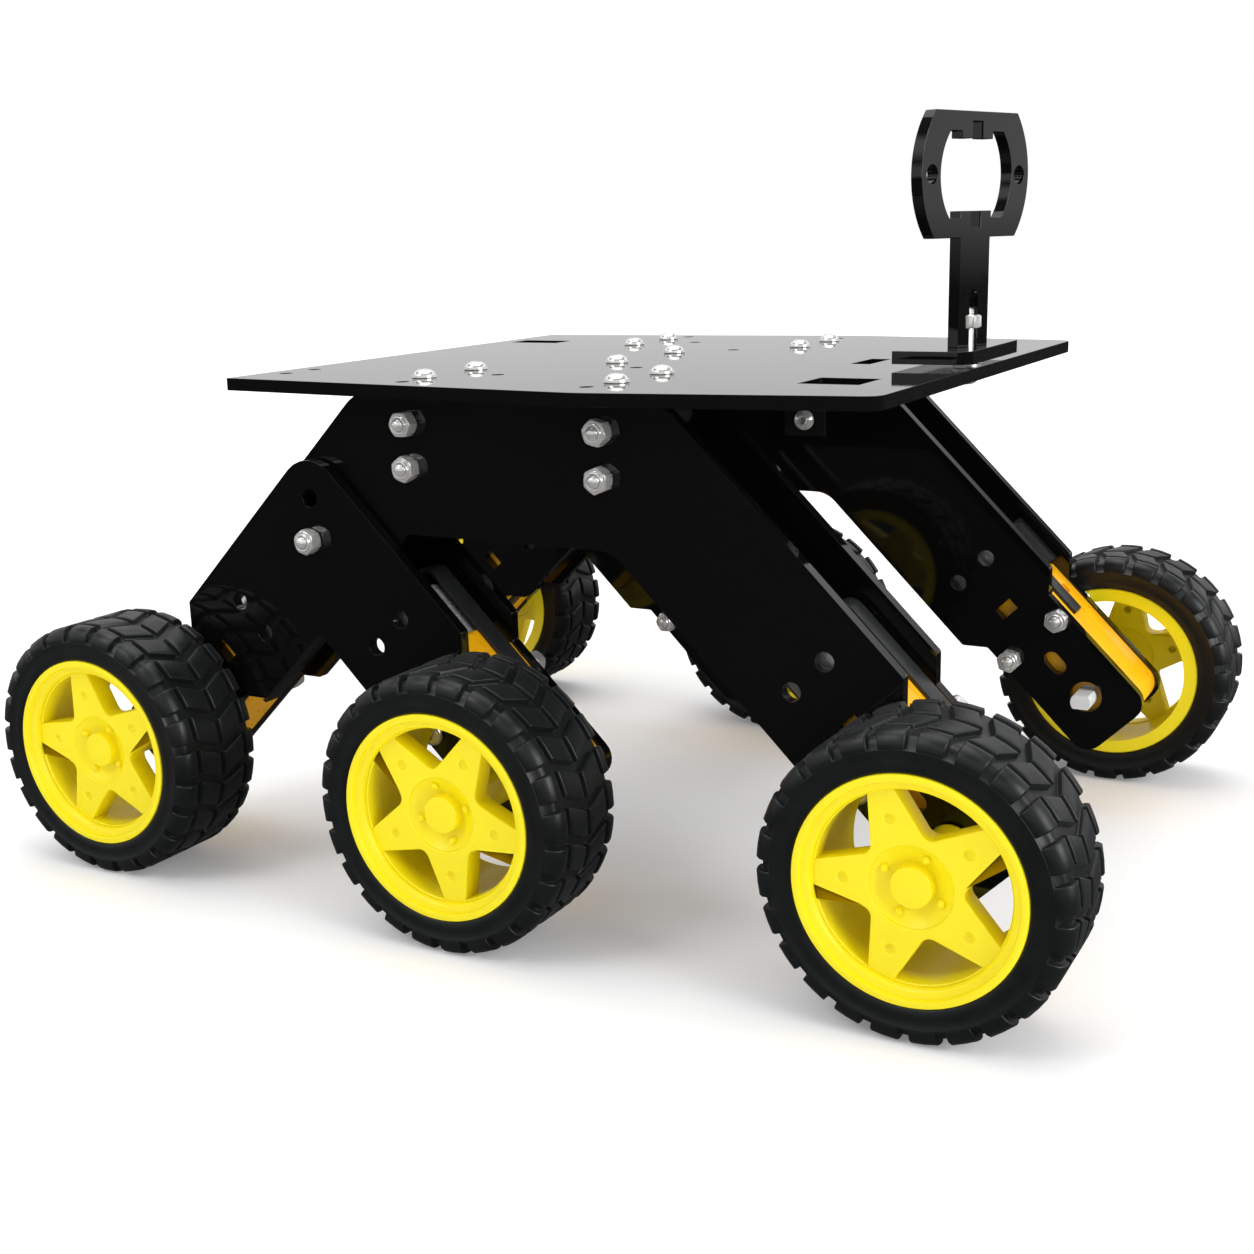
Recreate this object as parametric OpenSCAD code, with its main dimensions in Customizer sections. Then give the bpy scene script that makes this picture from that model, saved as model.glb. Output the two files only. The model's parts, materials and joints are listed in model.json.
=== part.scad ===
// Six-wheel rocker-bogie rover chassis.
// X forward, Y to the rover's left, Z up. The origin is on the ground, midway
// between the wheels and under the axle of the middle wheels.

/* [Wheels] */
// Outside diameter of a tyre
wheel_d = 65; // [62:0.5:68]
// Width of a tyre
wheel_w = 26; // [24:0.5:28]
// Outside diameter of the rim, where the tyre sits on it
rim_d = 48; // [46:0.5:50]
// Distance from one axle to the next
axle_step = 107; // [104:0.5:112]
// Gap between the front leg plate and the tyre
front_wheel_gap = 2.5; // [2:0.25:4]
// Gap between the bogie plate and the middle tyre
mid_wheel_gap = 4; // [2:0.25:4.5]
// Gap between the bogie plate and the rear tyre
rear_wheel_gap = 2; // [2:0.25:4]

/* [Plates] */
// Thickness of every plate
plate_t = 3; // [3]
// Width of the upper part of a leg
leg_w = 33; // [31:0.5:35]
// Width of the lower part of a leg, beside the gearbox
foot_w = 23; // [22.5:0.25:24]
// How far a leg runs past its axle
foot_past = 12.3; // [12:0.1:14]
// Distance from the rover's centre line to the inner face of the inner plate
inner_face = 46.2; // [45:0.2:48]
// Height of the underside of the deck
deck_under = 122; // [120:0.5:124]
// Height of the bottom edge of the outer rocker plate
outer_web_z = 88.5; // [86:0.5:90]
// Height of the bottom edge of the inner rocker plate
inner_web_z = 84; // [82:0.5:88]
// Forward distance of the bracket bolts from the middle axle
bolt_x = 26; // [25:0.5:27]

/* [Deck] */
// X of the rear edge of the deck
deck_rear = -75.5; // [-78:0.5:-74]
// X of the front edge of the deck
deck_front = 92; // [91:0.5:94]
// Half width of the deck at its front and rear ends
deck_half_end = 76.5; // [76:0.5:79]
// Half width of the deck at its widest place
deck_half_max = 86; // [84:0.5:88]
// X of the widest place of the deck
deck_wide_x = 28; // [20:1:35]

/* [Gearmotors] */
// Thickness of a gearbox, which sets the gap between two plates
gearbox_t = 18.8; // [18.8]
// Width of a gearbox
gearbox_w = 22.5; // [22.5]
// Distance from the output shaft to the front end of a gearbox
gearbox_front = 11.3; // [11.3]
// Distance from the output shaft to the motor end of a gearbox
gearbox_back = 34; // [33:0.5:35]
// Diameter of the motor can
can_d = 20; // [20]
// Thickness of the motor can across its two flats
can_flats = 15.1; // [15.1]
// Distance from the output shaft to the far end of the motor can
can_end = 49.5; // [48:0.5:50]
// Diameter of the output shaft
shaft_d = 5.4; // [5.4]
// Width of the output shaft across its two flats
shaft_flats = 3.7; // [3.7]
// Distance from the output shaft to the two fixing screws
fixing_s = 20.5; // [20.5]
// Distance between the two fixing screws
fixing_gap = 17.5; // [17.5]

/* [Sensor mast] */
// Angle by which the mast is turned to the rover's right
mast_turn = 17; // [0:1:30]
// Height of the top of the mast
mast_top = 182; // [178:1:188]
// Height of the flat-topped head
head_h = 28; // [26:0.5:30]
// Diameter of the round sides of the head
head_d = 43; // [41:0.5:45]
// Diameter of the round opening in the head
head_hole_d = 28.4; // [27:0.2:29]
// Distance between the two screw holes of the head
head_screw_gap = 35; // [34.5:0.5:36]
// Width of the stem
stem_w = 12; // [11:0.5:13]

/* [Hidden] */

$fn = 48;

// Everything from here on is for the left side, with Y growing outwards;
// side() mirrors it for the right side.
axle_z = wheel_d / 2;
pivot = [-axle_step / 2, axle_z + axle_step / 2];
leg_len = axle_step / sqrt(2);
jog_low = 27;
jog_high = jog_low + (leg_w - foot_w) / 2;
front_leg = [axle_step, 135];
mid_leg = [0, 135];
rear_leg = [-axle_step, 45];

washer_t = 1;
rocker_in = inner_face;
rocker_gap = rocker_in + plate_t;
rocker_out = rocker_gap + gearbox_t;
bogie_shift = plate_t + washer_t;
bogie_in = rocker_in + bogie_shift;
bogie_gap = bogie_in + plate_t;
bogie_out = bogie_gap + gearbox_t;
front_tyre_y = rocker_out + plate_t + front_wheel_gap;
mid_tyre_y = bogie_out + plate_t + mid_wheel_gap;
rear_tyre_y = bogie_out + plate_t + rear_wheel_gap;

// Holes of every leg, each with its distance up the leg from the axle
shaft_hole_r = 4.2;
peg_slot_r = 2.1;
peg_slot_s = [10.8, 13.4];
strap_slot_half = 2.6;
strap_slot_s = [29.8, 33.2];
tie_hole_r = 2.2;
tie_hole_s = 45.5;
tie_hole_n = 5.3;

// M3 hardware
screw_r = 1.5;
clear_r = 1.6;
head_r = 2.9;
head_t = 2;
nut_af = 5.5;
nut_t = 4;
thin_nut_t = 2.4;
bolt_rows = [104.5, 115];
bracket_t = 1.5;
bracket_w = 12;
bracket_leg = 16;
bracket_drop = 22;
bracket_screw_in = bracket_t + 3.3;
deck_top = deck_under + plate_t;
deck_screw_y = [rocker_out - bracket_screw_in, rocker_in - bracket_screw_in];
post_screw_y = 16;
deck_screw_l = plate_t + bracket_t + thin_nut_t;

// Deck: spare screw holes and cable cut-outs as [x, y, length, width]
edge_holes = [24.5, 74];
spare_holes = [[12, 28], [-12, 53]];
tail_holes = [[-69, -62], [-69, -51]];
front_cutout = [66, 42, 14, 14];
middle_cutout = [59.5, -7.5, 5, 15];
rear_cutout = [-70, 43.5, 16, 9];

// Sensor mast
base_gap = 1;
base_x = [73.5, deck_front];
base_y = [-17.5, 21.5];
mast_x = 86;
base_top = deck_top + base_gap + plate_t;
mast_slot_w = 3.2;
mast_slot_h = 13;
mast_nut_t = 3;
mast_nut_z = base_top + 4.3;
mast_screw_top = base_top + 9;

// Gearmotor
gearbox_wall = 1.6;
can_pocket_s = 27;
bore_play = 0.05;
shaft_stub = 9.1;

// Rim and tyre
arms = 5;
arm_t = 6;
hub_proud = 1.5;
rim_r = rim_d / 2;
barrel_r = rim_r - 2;
barrel_in_r = rim_r - 3.6;
lip_t = 1.6;

// ---------- helpers ----------

function unit(v) = v / norm(v);
function turned(v, a) = [v.x * cos(a) - v.y * sin(a), v.x * sin(a) + v.y * cos(a)];

// Points of one rounded corner at p, between its neighbours a and b
function corner(a, p, b, r, steps = 6) = r == 0 ? [p] :
    let (to_a = unit(a - p), to_b = unit(b - p),
         half = acos(to_a * to_b) / 2,
         centre = p + unit(to_a + to_b) * r / sin(half),
         start = p + to_a * r / tan(half) - centre,
         way = sign(to_b.x * to_a.y - to_b.y * to_a.x))
    [for (i = [0:steps]) centre + turned(start, way * (180 - 2 * half) * i / steps)];

// Outline of [x, y, corner radius] entries, with each corner rounded
function rounded(p) = let (n = len(p), q = [for (e = p) [e.x, e.y]])
    [for (i = [0:n - 1]) each corner(q[(i + n - 1) % n], q[i], q[(i + 1) % n], p[i][2])];

// Left side as drawn, right side mirrored
module side(name) {
    if (name == "right") mirror([0, 1, 0]) children();
    else children();
}

// Extrude an X-Z outline from y to y + t
module upright(y, t) {
    translate([0, y + t, 0]) rotate([90, 0, 0]) linear_extrude(t) children();
}

// A cylinder along +Y from y to y + h
module rod(x, y, z, r, h) {
    translate([x, y, z]) rotate([-90, 0, 0]) cylinder(r = r, h = h);
}

// Leg frame: local +X up the leg from the axle, local Y across it
module along_leg(leg) {
    translate([leg[0], 0, axle_z]) rotate([0, -leg[1], 0]) children();
}

// Leg point in X-Z, s up the leg and n to its upper side
function leg_point(leg, s, n, up) = [leg[0] + s * cos(leg[1]) + up * n * sin(leg[1]),
                                     axle_z + s * sin(leg[1]) - up * n * cos(leg[1])];

module hex_nut(t, bore_r) {
    difference() {
        cylinder(d = nut_af / cos(30), h = t, $fn = 6);
        translate([0, 0, -1]) cylinder(r = bore_r, h = t + 2);
    }
}

// Button head with a hex socket, seated at z = 0 with its shank going down
module button_screw(length) {
    difference() {
        union() {
            cylinder(r1 = head_r, r2 = head_r * 0.62, h = head_t);
            translate([0, 0, -length]) cylinder(r = screw_r, h = length + 0.5);
        }
        translate([0, 0, head_t - 1.2]) cylinder(d = 2.3, h = 2, $fn = 6);
    }
}

// ---------- plates ----------

// Holes that every leg has: shaft, locating slot, fixing screws,
// strap slot and two cable-tie holes
module leg_holes(leg, y) {
    through = plate_t + 2;
    along_leg(leg) translate([0, y - 1, 0]) {
        rod(0, 0, 0, shaft_hole_r, through);
        for (s = peg_slot_s) rod(s, 0, 0, peg_slot_r, through);
        leg_window(peg_slot_s, peg_slot_r, through);
        leg_window(strap_slot_s, strap_slot_half, through);
        for (n = [-1, 1]) {
            rod(fixing_s, 0, n * fixing_gap / 2, clear_r, through);
            rod(tie_hole_s, 0, n * tie_hole_n, tie_hole_r, through);
        }
    }
}

module leg_window(s, half, through) {
    translate([s[0], 0, -half]) cube([s[1] - s[0], through, 2 * half]);
}

module rocker_outline(web_z) {
    h = leg_w / 2;
    f = foot_w / 2;
    top_x = axle_step + axle_z + h * sqrt(2) - deck_under;
    web_x = axle_step + axle_z - h * sqrt(2) - web_z;
    heel = [pivot.x, pivot.y];
    polygon(concat(
        rounded([
            concat([top_x, deck_under], 10),
            concat(leg_point(front_leg, jog_high, h, 1), 1),
            concat(leg_point(front_leg, jog_low, f, 1), 1),
            concat(leg_point(front_leg, -foot_past, f, 1), 5),
            concat(leg_point(front_leg, -foot_past, -f, 1), 5),
            concat(leg_point(front_leg, jog_low, -f, 1), 1),
            concat(leg_point(front_leg, jog_high, -h, 1), 1),
            concat([web_x, web_z], 8),
            concat([-web_x, web_z], 0),
            concat(heel + turned([0, -h], 45), 0),
            concat(heel + turned([-h * tan(22.5), -h], 45), 0),
            concat(heel + turned([-h, -h * tan(22.5)], 45), 0),
            concat(heel + turned([-h, h * tan(22.5)], 45), 0),
            concat(heel + turned([-h * tan(22.5), h], 45), 0),
            concat([-top_x, deck_under], 10)])));
}

module rocker_plate(y, web_z) {
    color("#151515") difference() {
        upright(y, plate_t) rocker_outline(web_z);
        leg_holes(front_leg, y);
        for (x = [-bolt_x, bolt_x], z = bolt_rows) rod(x, y - 1, z, clear_r, plate_t + 2);
        rod(pivot.x, y - 1, pivot.y, screw_r + bore_play, plate_t + 2);
    }
}

module bogie_outline() {
    h = leg_w / 2;
    f = foot_w / 2;
    polygon(rounded([
        concat([pivot.x, pivot.y + h * sqrt(2)], 9),
        concat(leg_point(mid_leg, jog_high, h, 1), 1),
        concat(leg_point(mid_leg, jog_low, f, 1), 1),
        concat(leg_point(mid_leg, -foot_past, f, 1), 5),
        concat(leg_point(mid_leg, -foot_past, -f, 1), 5),
        concat(leg_point(mid_leg, jog_low, -f, 1), 1),
        concat(leg_point(mid_leg, jog_high, -h, 1), 1),
        concat([pivot.x, pivot.y - h * sqrt(2)], 2),
        concat(leg_point(rear_leg, jog_high, -h, -1), 1),
        concat(leg_point(rear_leg, jog_low, -f, -1), 1),
        concat(leg_point(rear_leg, -foot_past, -f, -1), 5),
        concat(leg_point(rear_leg, -foot_past, f, -1), 5),
        concat(leg_point(rear_leg, jog_low, f, -1), 1),
        concat(leg_point(rear_leg, jog_high, h, -1), 1)]));
}

module bogie_plate(y) {
    crown_hole_up = 10.3;
    color("#151515") difference() {
        upright(y, plate_t) bogie_outline();
        leg_holes(mid_leg, y);
        leg_holes(rear_leg, y);
        rod(pivot.x, y - 1, pivot.y, screw_r + bore_play, plate_t + 2);
        rod(pivot.x, y - 1, pivot.y + crown_hole_up, tie_hole_r, plate_t + 2);
    }
}

module deck_plate() {
    color("#151515") difference() {
        translate([0, 0, deck_under]) linear_extrude(plate_t) polygon(rounded([
            [deck_rear, -deck_half_end, 0],
            [deck_wide_x, -deck_half_max, 30],
            [deck_front, -deck_half_end, 4],
            [deck_front, deck_half_end, 4],
            [deck_wide_x, deck_half_max, 30],
            [deck_rear, deck_half_end, 0]]));
        for (x = [-bolt_x, bolt_x], y = deck_screw_y, s = [-1, 1]) deck_hole(x, s * y);
        for (s = [-1, 1]) {
            deck_hole(0, s * post_screw_y);
            for (x = [-1, 1]) deck_hole(x * edge_holes.x, s * edge_holes.y);
            for (p = spare_holes) deck_hole(p.x, s * p.y);
        }
        for (p = tail_holes) deck_hole(p.x, p.y);
        deck_hole(mast_x, 0);
        deck_window(front_cutout);
        mirror([0, 1, 0]) deck_window(front_cutout);
        deck_window(middle_cutout);
        deck_window(rear_cutout);
    }
}

module deck_window(w) {
    translate([w[0], w[1], deck_under - 1]) cube([w[2], w[3], plate_t + 2]);
}

module deck_hole(x, y) {
    translate([x, y, deck_under - 1]) cylinder(r = clear_r, h = plate_t + 2);
}

// ---------- brackets and fasteners of the deck ----------

// Angle bracket with its upright at y and its deck screw at screw_y
module bracket(x, y, screw_y) {
    flange_z = deck_under - bracket_t;
    difference() {
        union() {
            translate([x - bracket_w / 2, y, deck_under - bracket_drop])
                cube([bracket_w, bracket_t, bracket_drop]);
            translate([x - bracket_w / 2, y + bracket_t - bracket_leg, flange_z])
                cube([bracket_w, bracket_leg, bracket_t]);
        }
        for (z = bolt_rows) rod(x, y - 1, z, clear_r, bracket_t + 2);
        translate([x, screw_y, flange_z - 1]) cylinder(r = clear_r, h = bracket_t + 2);
    }
}

module deck_brackets() {
    color("#2a2b2d") for (name = ["right", "left"]) side(name) for (x = [-bolt_x, bolt_x]) {
        bracket(x, rocker_out - bracket_t, deck_screw_y[0]);
        bracket(x, rocker_in - bracket_t, deck_screw_y[1]);
    }
}

module deck_screws() {
    color("#d8d9db") {
        for (x = [-bolt_x, bolt_x], y = deck_screw_y, s = [-1, 1])
            translate([x, s * y, deck_top]) button_screw(deck_screw_l);
        for (s = [-1, 1]) translate([0, s * post_screw_y, deck_top]) button_screw(deck_screw_l);
    }
}

module deck_nuts() {
    color("#c9cbce") {
        for (x = [-bolt_x, bolt_x], y = deck_screw_y, s = [-1, 1])
            translate([x, s * y, deck_under - bracket_t - thin_nut_t]) hex_nut(thin_nut_t, screw_r);
        for (s = [-1, 1])
            translate([0, s * post_screw_y, deck_under - thin_nut_t]) hex_nut(thin_nut_t, screw_r);
    }
}

// ---------- rocker fasteners ----------

module rocker_bolts() {
    from_y = rocker_in - bracket_t;
    to_y = rocker_out + plate_t + nut_t + 1;
    color("#d8d9db") for (name = ["right", "left"]) side(name)
        for (x = [-bolt_x, bolt_x], z = bolt_rows)
            translate([x, from_y, z]) rotate([90, 0, 0]) button_screw(to_y - from_y);
}

module rocker_nuts() {
    color("#c9cbce") for (name = ["right", "left"]) side(name)
        for (x = [-bolt_x, bolt_x], z = bolt_rows)
            translate([x, rocker_out + plate_t, z]) rotate([-90, 0, 0]) hex_nut(nut_t, screw_r);
}

module tube(x, y, z, r, bore_r, h) {
    difference() {
        rod(x, y, z, r, h);
        rod(x, y - 1, z, bore_r, h + 2);
    }
}

module rocker_spacers() {
    color("#e4e2da") for (name = ["right", "left"]) side(name)
        for (x = [-bolt_x, bolt_x], z = bolt_rows)
            tube(x, rocker_gap, z, 3, clear_r, gearbox_t - bracket_t);
}

// ---------- bogie pivot ----------

// The bolt is fixed to the rocker and the bogie's two plates turn on it
module pivot_bolts() {
    to_y = bogie_out + plate_t + 0.2 + nut_t + 1;
    color("#d8d9db") for (name = ["right", "left"]) side(name)
        translate([pivot.x, rocker_in, pivot.y]) rotate([90, 0, 0]) button_screw(to_y - rocker_in);
}

module pivot_spacers() {
    play = 0.1;
    washer_r = 3.5;
    color("#e4e2da") for (name = ["right", "left"]) side(name) {
        tube(pivot.x, rocker_gap, pivot.y, washer_r, screw_r, washer_t - play);
        tube(pivot.x, bogie_gap + play, pivot.y, 3, screw_r, rocker_out - bogie_gap - play);
        tube(pivot.x, rocker_out + plate_t, pivot.y, washer_r, screw_r, washer_t - play);
    }
}

module pivot_nuts() {
    color("#c9cbce") for (name = ["right", "left"]) side(name)
        translate([pivot.x, bogie_out + plate_t + 0.2, pivot.y]) rotate([-90, 0, 0])
            hex_nut(nut_t, screw_r);
}

// ---------- gearmotors, drawn in the leg frame at inner face y ----------

module gearbox(leg, y) {
    cavity_t = gearbox_t - 2 * gearbox_wall;
    color("#ffb010") along_leg(leg) difference() {
        upright(y, gearbox_t) polygon(rounded([
            [-gearbox_front, -gearbox_w / 2, 5],
            [gearbox_back, -gearbox_w / 2, 1.5],
            [gearbox_back, gearbox_w / 2, 1.5],
            [-gearbox_front, gearbox_w / 2, 5]]));
        upright(y + gearbox_wall, cavity_t) polygon(rounded([
            [gearbox_wall - gearbox_front, gearbox_wall - gearbox_w / 2, 4],
            [fixing_s - 5, gearbox_wall - gearbox_w / 2, 1],
            [fixing_s - 5, gearbox_w / 2 - gearbox_wall, 1],
            [gearbox_wall - gearbox_front, gearbox_w / 2 - gearbox_wall, 4]]));
        rod(0, y - 1, 0, shaft_d / 2 + bore_play, gearbox_t + 2);
        for (n = [-1, 1]) rod(fixing_s, y - 1, n * fixing_gap / 2, clear_r, gearbox_t + 2);
        can_pocket(y);
    }
}

module can_pocket(y) {
    translate([can_pocket_s, y + gearbox_t / 2, 0]) can_shape(gearbox_back - can_pocket_s + 1);
}

// Motor can: a cylinder along the leg with two flats
module can_shape(length) {
    intersection() {
        rotate([0, 90, 0]) cylinder(d = can_d, h = length);
        translate([-1, -can_flats / 2, -can_d]) cube([length + 2, can_flats, 2 * can_d]);
    }
}

module motor(leg, y) {
    cap_t = 2;
    boss_t = 2;
    color("#c4c7ca") along_leg(leg) translate([can_pocket_s, y + gearbox_t / 2, 0]) {
        can_shape(can_end - can_pocket_s);
        translate([can_end - can_pocket_s, 0, 0]) rotate([0, 90, 0]) {
            cylinder(d = can_flats - 1, h = cap_t);
            cylinder(d = 6, h = cap_t + boss_t);
        }
    }
}

// Strap that goes round the end of the motor and hooks on the gearbox
module strap(leg, y) {
    strap_t = 1;
    strap_w = 6;
    reach = 18.5;
    end_s = can_end + 4;
    half = gearbox_w / 2;
    color("#202224") along_leg(leg) translate([0, y + gearbox_t / 2 - 7, 0]) {
        for (n = [-1, 1]) {
            translate([reach, 0, n > 0 ? half : -half - strap_t])
                cube([end_s - reach, strap_w, strap_t]);
        }
        translate([end_s, 0, -half - strap_t]) cube([strap_t, strap_w, 2 * (half + strap_t)]);
    }
}

// Two screws through both plates and the gearbox, with their nuts inboard
module motor_bolts(leg, y) {
    outer_y = y + gearbox_t + plate_t;
    color("#d8d9db") along_leg(leg) for (n = [-1, 1]) {
        translate([fixing_s, outer_y, n * fixing_gap / 2]) rotate([-90, 0, 0])
            button_screw(gearbox_t + 2 * plate_t + nut_t + 1);
        translate([fixing_s, y - plate_t, n * fixing_gap / 2]) rotate([90, 0, 0])
            hex_nut(nut_t, screw_r);
    }
}

// ---------- wheels, drawn at x with the tyre's inner face at y ----------

module tyre(x, y) {
    shoulder = 2.5;
    r = wheel_d / 2;
    color("#26282a") translate([x, y, axle_z]) rotate([-90, 0, 0]) rotate_extrude($fn = 96) polygon([
        [rim_r, 0], [r - shoulder, 0], [r, shoulder], [r, wheel_w - shoulder],
        [r - shoulder, wheel_w], [rim_r, wheel_w], [rim_r, wheel_w - lip_t],
        [barrel_r, wheel_w - lip_t], [barrel_r, lip_t], [rim_r, lip_t]]);
}

// Rim: barrel, a step at the outer lip, five tapering arms and the hub
module rim(x, y) {
    proud = 0.2;
    hub_r = 10.6;
    tube_r = 4.6;
    cap_r = 4.3;
    arm_face = wheel_w - 2;
    color("#ffea24") translate([x, y, axle_z]) rotate([-90, 0, 0]) difference() {
        union() {
            rotate_extrude($fn = 96) polygon([
                [barrel_in_r, 0.4], [rim_r, 0.4], [rim_r, lip_t], [barrel_r, lip_t],
                [barrel_r, wheel_w - lip_t], [rim_r, wheel_w - lip_t],
                [rim_r, wheel_w + proud], [rim_r - 1.6, wheel_w + proud],
                [rim_r - 2, wheel_w - 0.6], [barrel_in_r, wheel_w - 1]]);
            translate([0, 0, arm_face - arm_t]) linear_extrude(arm_t) {
                for (i = [0:arms - 1]) rotate(i * 360 / arms - 90) polygon(arm_outline());
                circle(r = hub_r);
            }
            translate([0, 0, -hub_proud]) cylinder(r = tube_r, h = arm_face - 1);
            translate([0, 0, arm_face]) cylinder(r = cap_r, h = 1.2);
        }
        translate([0, 0, -hub_proud - 1]) linear_extrude(shaft_stub + 6) double_d();
    }
}

// Half of an arm's width at the centre, at its knee and at the barrel
function arm_outline() =
    let (root = 7.6, knee = 6.6, knee_r = 9.6, tip = 3.2, tip_r = barrel_r - 1)
    [[0, -root], [knee_r, -knee], [tip_r, -tip], [tip_r, tip], [knee_r, knee], [0, root]];

module double_d() {
    intersection() {
        circle(d = shaft_d);
        square([shaft_d * 2, shaft_flats], center = true);
    }
}

// Output shaft: round in the gearbox, double-D beyond it, with the last gear
module output_shaft(x, y) {
    gear_t = 5;
    gear_d = 17;
    color("#eceae4") translate([x, y, axle_z]) rotate([-90, 0, 0]) {
        translate([0, 0, -shaft_stub]) linear_extrude(shaft_stub) double_d();
        cylinder(d = shaft_d, h = gearbox_t);
        translate([0, 0, gearbox_t]) linear_extrude(shaft_stub) double_d();
        translate([0, 0, gearbox_wall + 1]) output_gear(gear_d, gear_t);
    }
}

module output_gear(d, t) {
    teeth = 28;
    linear_extrude(t) difference() {
        union() {
            circle(d = d - 2);
            for (i = [0:teeth - 1]) rotate(i * 360 / teeth) polygon([
                [d / 2 - 2, -0.62], [d / 2, -0.3], [d / 2, 0.3], [d / 2 - 2, 0.62]]);
        }
        circle(r = 1);
    }
}

// ---------- sensor mast ----------

module mast_base() {
    cut = 3;
    color("#151515") difference() {
        translate([0, 0, deck_top + base_gap]) linear_extrude(plate_t) polygon([
            [base_x[0], base_y[0]], [base_x[1] - cut, base_y[0]], [base_x[1], base_y[0] + cut],
            [base_x[1], base_y[1]], [base_x[0], base_y[1]]]);
        translate([mast_x, 0, deck_top]) cylinder(r = clear_r, h = plate_t + 2);
    }
}

// Clamp screw from under the deck, with the washer that lifts the base
module mast_screw() {
    color("#d8d9db") {
        translate([mast_x, 0, deck_under]) mirror([0, 0, 1])
            button_screw(mast_screw_top - deck_under);
        difference() {
            translate([mast_x, 0, deck_top]) cylinder(r = 3.5, h = base_gap);
            translate([mast_x, 0, deck_top - 1]) cylinder(r = screw_r, h = base_gap + 2);
        }
    }
}

// Mast frame: the plate lies in the local Y-Z plane, turned about the screw
module mast_place() {
    translate([mast_x, 0, 0]) rotate([0, 0, -mast_turn]) children();
}

module across(t) {
    translate([-t / 2, 0, 0]) rotate([90, 0, 90]) linear_extrude(t) children();
}

module mast_plate() {
    head_z = mast_top - head_h / 2;
    tab_w = 4.2;
    tab_h = 1.6;
    notch_w = 4;
    flat_z = 9.6;
    color("#1b1b1b") mast_place() {
        difference() {
            union() {
                across(plate_t) translate([0, head_z]) difference() {
                    intersection() {
                        circle(d = head_d, $fn = 96);
                        square([head_d, head_h], center = true);
                    }
                    intersection() {
                        circle(d = head_hole_d, $fn = 72);
                        square([head_hole_d, 2 * flat_z], center = true);
                    }
                    square([notch_w, 2 * flat_z + 4.4], center = true);
                }
                across(plate_t) translate([-stem_w / 2, base_top])
                    square([stem_w, mast_top - head_h + 0.6 - base_top]);
                for (y = [-1, 1], z = [-1, 1]) translate([0, y * (notch_w + tab_w) / 2, head_z + z * flat_z])
                    cube([plate_t, tab_w, 2 * tab_h], center = true);
            }
            translate([-plate_t, -mast_slot_w / 2, base_top - 1])
                cube([2 * plate_t, mast_slot_w, mast_slot_h - mast_slot_w / 2 + 1]);
            translate([-plate_t, 0, base_top + mast_slot_h - mast_slot_w / 2]) rotate([0, 90, 0])
                cylinder(d = mast_slot_w, h = 2 * plate_t);
            translate([-plate_t, -nut_af / 2 - 0.1, mast_nut_z])
                cube([2 * plate_t, nut_af + 0.2, mast_nut_t]);
            for (y = [-1, 1]) translate([-plate_t, y * head_screw_gap / 2, head_z]) rotate([0, 90, 0])
                cylinder(r = 2.1, h = 2 * plate_t);
        }
    }
}

module mast_nut() {
    color("#c9cbce") mast_place() translate([0, 0, mast_nut_z]) difference() {
        cylinder(d = nut_af / cos(30), h = mast_nut_t, $fn = 6);
        translate([0, 0, -1]) cylinder(r = screw_r + bore_play, h = mast_nut_t + 2);
    }
}

// ---------- groups ----------

module both_sides() {
    for (name = ["right", "left"]) side(name) children();
}

deck_plate();
deck_screws();
deck_nuts();
deck_brackets();
side("right") rocker_plate(rocker_out, outer_web_z);  // right_rocker_outer_plate
side("right") rocker_plate(rocker_in, inner_web_z);  // right_rocker_inner_plate
side("left") rocker_plate(rocker_out, outer_web_z);  // left_rocker_outer_plate
side("left") rocker_plate(rocker_in, inner_web_z);  // left_rocker_inner_plate
rocker_bolts();
rocker_nuts();
rocker_spacers();
pivot_bolts();
pivot_spacers();
pivot_nuts();
side("right") gearbox(front_leg, rocker_gap);  // right_front_gearbox
side("right") motor(front_leg, rocker_gap);  // right_front_motor
side("left") gearbox(front_leg, rocker_gap);  // left_front_gearbox
side("left") motor(front_leg, rocker_gap);  // left_front_motor
both_sides() strap(front_leg, rocker_gap);  // front_motor_straps
both_sides() motor_bolts(front_leg, rocker_gap);  // front_motor_bolts
mast_base();
mast_screw();
mast_plate();
mast_nut();
side("right") bogie_plate(bogie_out);  // right_bogie_outer_plate
side("right") bogie_plate(bogie_in);  // right_bogie_inner_plate
side("right") gearbox(mid_leg, bogie_gap);  // right_mid_gearbox
side("right") motor(mid_leg, bogie_gap);  // right_mid_motor
side("right") gearbox(rear_leg, bogie_gap);  // right_rear_gearbox
side("right") motor(rear_leg, bogie_gap);  // right_rear_motor
side("right") { strap(mid_leg, bogie_gap); strap(rear_leg, bogie_gap); }  // right_bogie_motor_straps
side("right") { motor_bolts(mid_leg, bogie_gap); motor_bolts(rear_leg, bogie_gap); }  // right_bogie_motor_bolts
side("left") bogie_plate(bogie_out);  // left_bogie_outer_plate
side("left") bogie_plate(bogie_in);  // left_bogie_inner_plate
side("left") gearbox(mid_leg, bogie_gap);  // left_mid_gearbox
side("left") motor(mid_leg, bogie_gap);  // left_mid_motor
side("left") gearbox(rear_leg, bogie_gap);  // left_rear_gearbox
side("left") motor(rear_leg, bogie_gap);  // left_rear_motor
side("left") { strap(mid_leg, bogie_gap); strap(rear_leg, bogie_gap); }  // left_bogie_motor_straps
side("left") { motor_bolts(mid_leg, bogie_gap); motor_bolts(rear_leg, bogie_gap); }  // left_bogie_motor_bolts
side("right") tyre(axle_step, front_tyre_y);  // right_front_tyre
side("right") rim(axle_step, front_tyre_y);  // right_front_rim
side("right") output_shaft(axle_step, rocker_gap);  // right_front_shaft
side("right") tyre(0, mid_tyre_y);  // right_mid_tyre
side("right") rim(0, mid_tyre_y);  // right_mid_rim
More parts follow.
